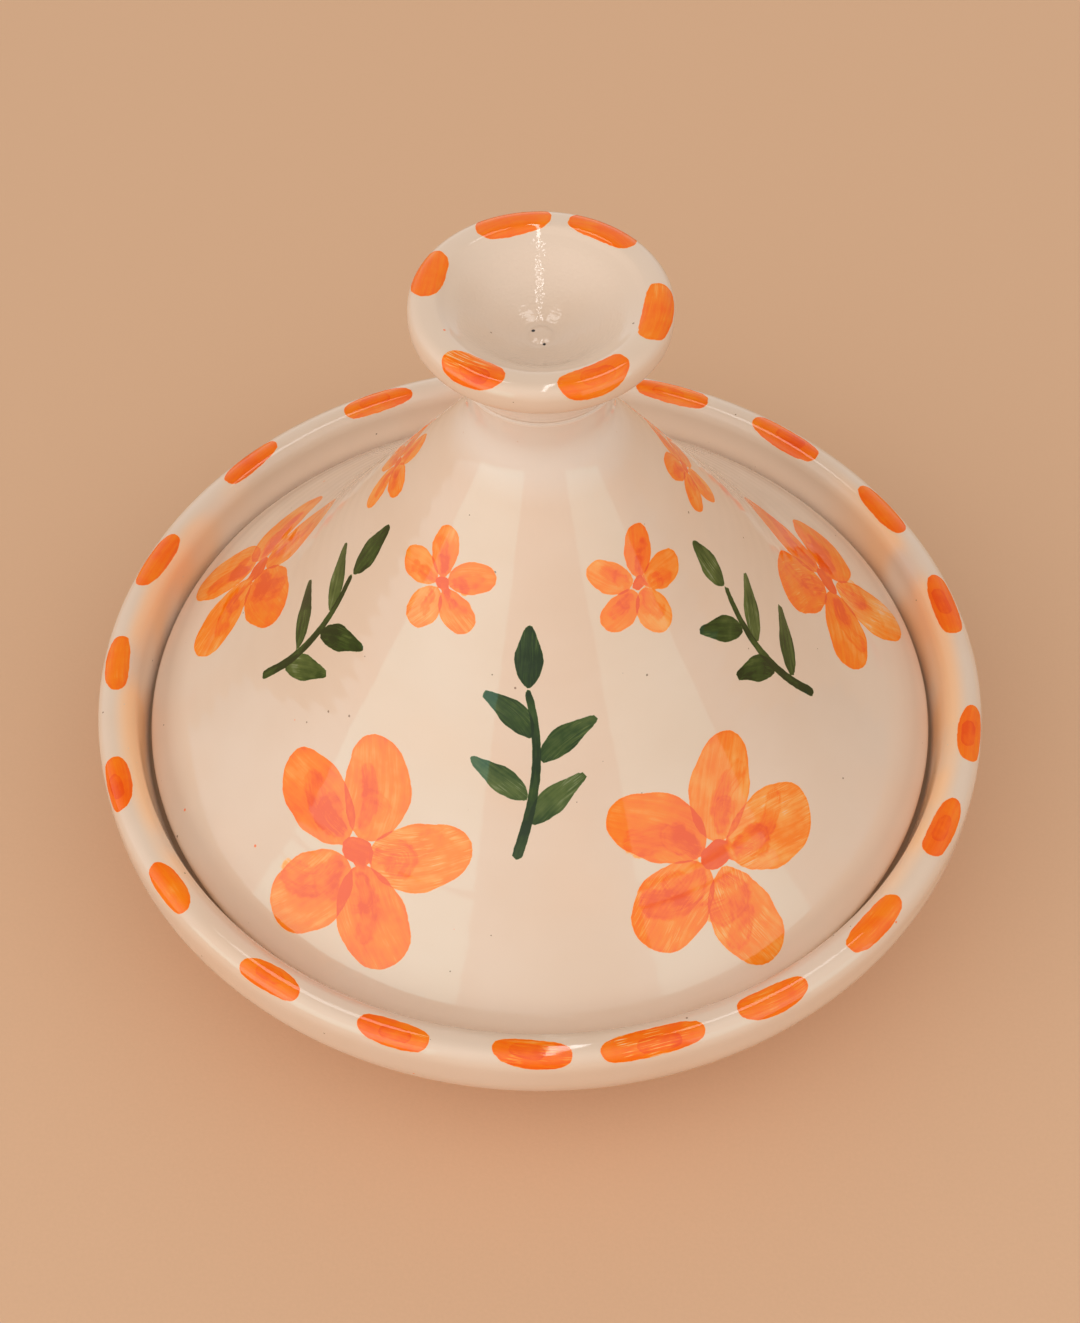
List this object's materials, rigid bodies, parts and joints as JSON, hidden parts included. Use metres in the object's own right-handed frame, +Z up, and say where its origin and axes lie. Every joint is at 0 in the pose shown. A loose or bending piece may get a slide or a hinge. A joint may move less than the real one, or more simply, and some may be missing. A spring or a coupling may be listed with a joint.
{
  "type": "tagine pot",
  "caption": "Glazed ceramic tagine: a shallow round dish with an inner gallery, and a tall conical lid that lifts off by its cup-shaped knob.",
  "frame": {"origin": "centre of the foot ring, on the surface that the dish stands on", "axes": "+Z up along the axis that dish, lid and knob are turned about; the part is round, so +X and +Y are free"},
  "size_m": [0.28, 0.28, 0.2295],
  "materials": {
    "dish_glaze": "gloss",
    "lid_glaze": "gloss",
    "knob_glaze": "gloss"
  },
  "bodies": {
    "base": {"base_dish": "dish_glaze"},
    "lid": {"lid_cone": "lid_glaze", "lid_knob": "knob_glaze"}
  },
  "joints": [
    {"name": "lid_lift", "type": "slide", "parent": "base", "child": "lid", "axis": [0, 0, 1], "range_m": [0, 0.22]}
  ]
}
